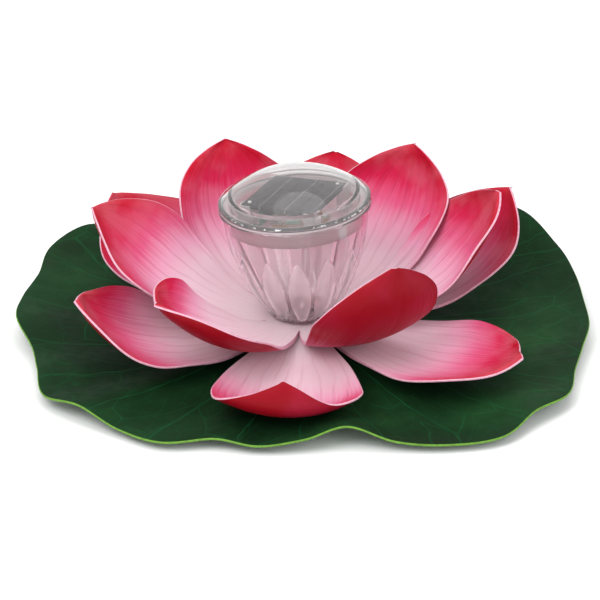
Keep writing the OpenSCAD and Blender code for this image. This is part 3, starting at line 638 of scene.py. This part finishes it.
def lamp_cup(materials):
    """Thin fluted cup with a flange, a boss in its floor, and the foot and spigot below it."""
    outside = [(float(smooth(h, CUP_OUTSIDE)) - (0.5 if h == 0 else 0), float(h))
               for h in np.concatenate([[0, 0.4, 1.2], np.linspace(2, 55.6, 90)])]
    flange = [(36.2, 56.2), (37.0, 56.4), (RIM_R, 56.8), (RIM_R, 57.6), (37.1, CUP_HEIGHT),
              (34.2, CUP_HEIGHT), (33.8, 57.6)]
    inside = [(float(smooth(h, CUP_OUTSIDE)) - CUP_WALL, float(h))
              for h in np.linspace(56.0, CUP_FLOOR + 0.6, 56)]
    inside += [(14.2, CUP_FLOOR), (SPIGOT_R + 0.8, CUP_FLOOR), (SPIGOT_R, CUP_FLOOR + 0.6),
               (SPIGOT_R, CUP_FLOOR + BOSS_H - 1.2), (SPIGOT_R - 1.5, CUP_FLOOR + BOSS_H)]
    upright = [(PILOT_R, PILOT_TOP), (PILOT_R, SPIGOT_BOTTOM + 0.5), (PILOT_R + 0.5, SPIGOT_BOTTOM),
               (SPIGOT_R - 0.6, SPIGOT_BOTTOM), (SPIGOT_R, SPIGOT_BOTTOM + 0.6), (SPIGOT_R, STACK_TOP),
               (FOOT_R, STACK_TOP)]
    leaning = [(FOOT_R, 0.0)] + outside + flange + inside
    first, last = len(upright) + 1, len(upright) + 1 + len(outside)

    def shape(k, radius, h, angle):
        if first <= k < last:
            return radius - FLUTE_DEPTH * flute(h, angle)
        return radius
    points, faces = revolve(upright + leaning, LAMP_AROUND, shape)
    split = len(upright) * LAMP_AROUND
    points = np.vstack([points[:split], to_world(points[split:]), [[0, 0, PILOT_TOP]],
                        to_world([[0, 0, CUP_FLOOR + BOSS_H]])])
    mats = [0] * len(faces)
    turns = (np.arange(LAMP_AROUND) + 0.5) * 2 * math.pi / LAMP_AROUND
    for k in range(first, last - 1):
        h = (leaning[k - len(upright)][1] + leaning[k + 1 - len(upright)][1]) / 2
        # Flute faces take the second finish, which is less clear and near white: a painted highlight
        # standing in for the bright glints along the flutes
        cut = flute(h, turns) > 0.02
        for i in np.nonzero(cut)[0]:
            mats[k * LAMP_AROUND + i] = 1
    below, above = len(points) - 2, len(points) - 1
    end = (len(upright) + len(leaning) - 1) * LAMP_AROUND
    for i in range(LAMP_AROUND):
        j = (i + 1) % LAMP_AROUND
        faces.append((below, j, i))
        faces.append((above, end + i, end + j))
        mats.extend((0, 0))
    return make_mesh("lamp_cup_glass", points, faces, "flower", ["lamp_cup"], materials,
                     mats, sharp=28)


def dome_cover(material):
    """Thin shallow dome with a narrow lip, a skirt that drops into the tray, and one small notch."""
    radius = (DOME_EDGE_R**2 + (DOME_HEIGHT - DOME_LIP_H)**2) / (2 * (DOME_HEIGHT - DOME_LIP_H))
    centre = SEAM + DOME_HEIGHT - radius

    def cap(r, sphere):
        return centre + math.sqrt(sphere**2 - r**2)
    inner = radius - DOME_WALL
    outside = [(RIM_R - 0.25, SEAM), (RIM_R, SEAM + 0.25), (RIM_R, SEAM + 0.7),
               (RIM_R - 0.15, SEAM + 1.05), (RIM_R - 0.45, SEAM + DOME_LIP_H)]
    outside += [(r, cap(r, radius)) for r in np.linspace(DOME_EDGE_R, 0.8, 44)]
    inside = [(r, cap(r, inner)) for r in np.linspace(0.8, SKIRT_R - SKIRT_WALL - 0.3, 36)]
    skirt_in = SKIRT_R - SKIRT_WALL
    inside += [(skirt_in, cap(SKIRT_R, inner) - 0.6), (skirt_in, SEAM - SKIRT_H + 0.2),
               (skirt_in + 0.2, SEAM - SKIRT_H), (SKIRT_R - 0.2, SEAM - SKIRT_H),
               (SKIRT_R, SEAM - SKIRT_H + 0.2), (SKIRT_R, cap(SKIRT_R, inner) - 0.3)]
    inside += [(r, cap(r, inner)) for r in np.linspace(SKIRT_R + 0.3, 34.8, 8)] + [(35.0, SEAM)]
    rings = outside + inside
    near = math.radians(NOTCH_TURN)

    def shape(k, ring, h, angle):
        if k < 3:
            off = np.abs((angle - near + math.pi) % (2 * math.pi) - math.pi) * RIM_R
            return ring - NOTCH_DEPTH * np.clip((NOTCH_HALF + NOTCH_BLEND - off) / NOTCH_BLEND, 0, 1)
        return ring
    points, faces = revolve(rings, DOME_AROUND, shape)
    around, gap = DOME_AROUND, len(outside) - 1
    faces = faces[:gap * around] + faces[(gap + 1) * around:]
    points = np.vstack([points, [[0, 0, centre + radius]], [[0, 0, centre + inner]]])
    high, low = len(points) - 2, len(points) - 1
    end = (len(rings) - 1) * around
    for i in range(around):
        j = (i + 1) % around
        faces.append((gap * around + i, gap * around + j, high))
        faces.append(((gap + 1) * around + j, (gap + 1) * around + i, low))
        faces.append((end + i, end + j, j, i))
    return make_mesh("dome_cover_shell", to_world(points), faces, "dome", ["dome_cover"],
                     [material], sharp=32)


# The second finish goes on the flute faces. Its lower clearness adds diffuse white, a painted highlight on
# the flutes.
lamp_cup([clear_plastic("clear cup plastic", (0.98, 0.955, 0.965), 0.02, 0.06, 0.96, 0.4),
          clear_plastic("flute facets painted highlight", (0.99, 0.97, 0.975), 0.05, 0.12, 0.69, 0.6)])
dome_cover(clear_plastic("clear dome plastic", (0.98, 0.96, 0.96), 0.02, 0.05, 0.965, 0.2))


def set_materials():
    """Every carried-over CAD node gets its procedural finish."""
    finishes = {
        "float_disc": speckled("float foam", ((0.55, 0.56, 0.55), (0.72, 0.73, 0.72)), 500, (0.6, 0.8),
                               0.4),
        "clamp_washer": speckled("zinc washer", ((0.50, 0.51, 0.53), (0.66, 0.67, 0.69)), 400, (0.28, 0.45),
                                 Metallic=1.0),
        "clamp_screw": speckled("zinc screw", ((0.48, 0.49, 0.51), (0.64, 0.65, 0.67)), 500, (0.25, 0.42),
                                Metallic=1.0),
        "pcb_screws": speckled("board screws", ((0.50, 0.50, 0.50), (0.68, 0.67, 0.66)), 700, (0.25, 0.4),
                               Metallic=1.0),
        "seal_ring": speckled("grey rubber", ((0.10, 0.095, 0.10), (0.16, 0.15, 0.155)), 500, (0.5, 0.7)),
        "solar_panel": solar_cells(),
        "panel_pins": speckled("white pins", ((0.70, 0.70, 0.68), (0.80, 0.80, 0.78)), 500, (0.4, 0.55)),
        "circuit_board": speckled("board laminate", ((0.22, 0.105, 0.035), (0.34, 0.17, 0.06)), 350,
                                  (0.35, 0.5)),
        "battery": speckled("battery sleeve", ((0.045, 0.17, 0.09), (0.06, 0.22, 0.12)), 200, (0.22, 0.35)),
        "battery_positive_tab": speckled("nickel tab a", ((0.60, 0.58, 0.54), (0.75, 0.73, 0.68)), 600,
                                         (0.25, 0.4), Metallic=1.0),
        "battery_negative_tab": speckled("nickel tab b", ((0.60, 0.58, 0.54), (0.75, 0.73, 0.68)), 600,
                                         (0.25, 0.4), Metallic=1.0),
        "driver_chip": speckled("chip black", ((0.018, 0.018, 0.020), (0.035, 0.035, 0.038)), 700,
                                (0.4, 0.55)),
        "inductor": speckled("inductor green", ((0.06, 0.22, 0.10), (0.10, 0.30, 0.14)), 500, (0.3, 0.45)),
        "led": speckled("led epoxy", ((0.80, 0.80, 0.76), (0.90, 0.90, 0.86)), 400, (0.08, 0.16),
                        Transmission_Weight=0.7),
        "switch_body": speckled("switch metal", ((0.55, 0.56, 0.57), (0.70, 0.71, 0.72)), 500, (0.25, 0.4),
                                Metallic=1.0),
        "switch_slider": speckled("switch knob", ((0.025, 0.025, 0.027), (0.045, 0.045, 0.048)), 500,
                                  (0.4, 0.55)),
        "panel_lead_red": speckled("lead red a", ((0.50, 0.02, 0.02), (0.64, 0.04, 0.03)), 500,
                                   (0.35, 0.5)),
        "battery_lead_red": speckled("lead red b", ((0.50, 0.02, 0.02), (0.64, 0.04, 0.03)), 500,
                                     (0.35, 0.5)),
        "panel_lead_black": speckled("lead black a", ((0.02, 0.02, 0.02), (0.04, 0.04, 0.04)), 500,
                                     (0.35, 0.5)),
        "battery_lead_black": speckled("lead black b", ((0.02, 0.02, 0.02), (0.04, 0.04, 0.04)), 500,
                                       (0.35, 0.5)),
        "electronics_tray": clear_plastic("milky tray plastic", (0.97, 0.88, 0.90), 0.12, 0.25, 0.62, 0.3),
    }
    for node, finish in finishes.items():
        obj = bpy.data.objects[node]
        obj.data.materials.clear()
        obj.data.materials.append(finish)
        obj.data.polygons.foreach_set("use_smooth", [True] * len(obj.data.polygons))
        obj.data.set_sharp_from_angle(angle=math.radians(32))


set_materials()


# ---------------------------------------------------------------- floor, light, camera
def pale_floor():
    mesh = bpy.data.meshes.new("floor")
    half = 3.0
    corners = [(-half, -half, 0), (half, -half, 0), (half, half, 0), (-half, half, 0)]
    mesh.from_pydata(corners, [], [(0, 1, 2, 3)])
    obj = bpy.data.objects.new("floor", mesh)
    bpy.context.scene.collection.objects.link(obj)
    mesh.materials.append(
        speckled("pale floor", ((0.86, 0.86, 0.86), (0.90, 0.90, 0.90)), 4, (0.8, 0.9), 0.0))


def soft_light(name, where, aim, size, power, mirrored=True):
    data = bpy.data.lights.new(name, "AREA")
    data.shape = "DISK"
    data.size = size
    data.energy = power
    obj = bpy.data.objects.new(name, data)
    obj.location = where
    obj.rotation_euler = (Vector(aim) - Vector(where)).to_track_quat("-Z", "Y").to_euler()
    obj.visible_glossy = mirrored
    bpy.context.scene.collection.objects.link(obj)


pale_floor()
world = bpy.data.worlds.new("studio")
world.use_nodes = True
world.node_tree.nodes["Background"].inputs["Color"].default_value = (1, 1, 1, 1)
world.node_tree.nodes["Background"].inputs["Strength"].default_value = 0.9
bpy.context.scene.world = world
CENTRE = (0, 0, 0.03)
soft_light("key", (-0.5, -0.6, 0.9), CENTRE, 0.7, 6.5)
soft_light("fill", (0.8, -0.9, 0.7), CENTRE, 0.8, 4.5)
soft_light("top", (0.0, 0.1, 1.4), CENTRE, 1.2, 7.0, False)

CAMERA_DISTANCE = 1.65
CAMERA_ELEVATION = math.radians(25.5)
camera_data = bpy.data.cameras.new("camera")
camera_data.sensor_width = 36
camera_data.lens = 200
camera_data.clip_start = 0.05
camera = bpy.data.objects.new("camera", camera_data)
target = Vector((-0.0015, 0, 0.023))
backward = Vector((0, -math.cos(CAMERA_ELEVATION), math.sin(CAMERA_ELEVATION)))
camera.location = target + CAMERA_DISTANCE * backward
camera.rotation_euler = (target - camera.location).to_track_quat("-Z", "Y").to_euler()
bpy.context.scene.collection.objects.link(camera)
bpy.context.scene.camera = camera
bpy.context.scene.view_settings.view_transform = "Standard"
